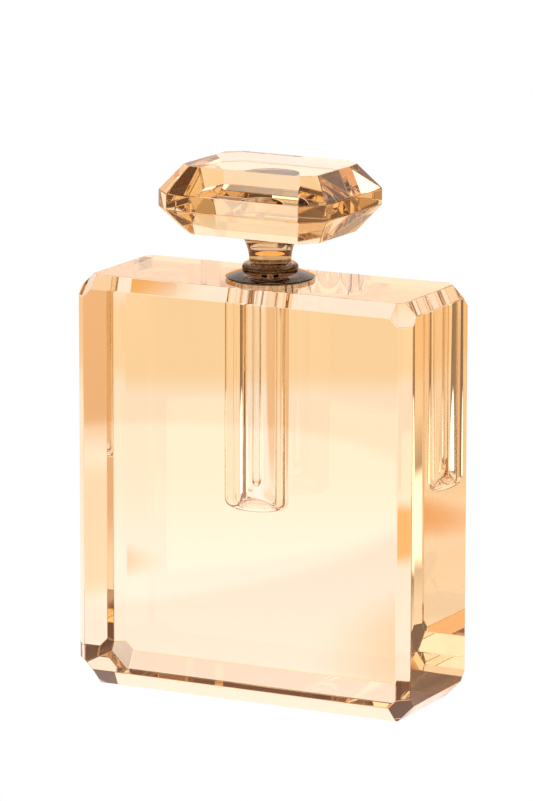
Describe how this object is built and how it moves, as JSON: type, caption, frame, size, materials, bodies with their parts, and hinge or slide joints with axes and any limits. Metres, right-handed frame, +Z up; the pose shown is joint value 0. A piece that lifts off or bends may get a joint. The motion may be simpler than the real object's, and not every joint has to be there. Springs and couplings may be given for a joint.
{
  "type": "cut crystal perfume flacon",
  "caption": "Heavy cut-crystal perfume flacon: drilled amber block, and a step-cut stopper that lifts out with its glass dauber rod.",
  "frame": {"origin": "on the surface the flacon stands on, under the middle of the block", "axes": "+Z up along the stopper's axis, the wide face looks along -Y, +X to the right of it"},
  "size_m": [0.088, 0.0384, 0.1275],
  "materials": {
    "block_crystal": "cut and polished amber crystal",
    "head_crystal": "cut and polished amber crystal",
    "stem_glass": "smoky amber glass, fire-polished",
    "rod_glass": "clear glass, drawn",
    "clear_collar": "soft clear plastic",
    "cured_adhesive": "clear cured adhesive"
  },
  "bodies": {
    "bottle": {"bottle_block": "block_crystal"},
    "collar": {"mouth_collar": "clear_collar"},
    "stopper": {"stopper_stem": "stem_glass", "rod_bond": "cured_adhesive", "dauber_rod": "rod_glass", "head_bond": "cured_adhesive", "stopper_head": "head_crystal"}
  },
  "joints": [
    {"name": "stopper_turn", "type": "hinge", "parent": "bottle", "child": "collar", "pos_m": [-0.00055, 0, 0.1], "axis": [0, 0, 1], "continuous": true},
    {"name": "stopper_lift", "type": "slide", "parent": "collar", "child": "stopper", "axis": [0, 0, 1], "range_m": [0, 0.06]}
  ]
}
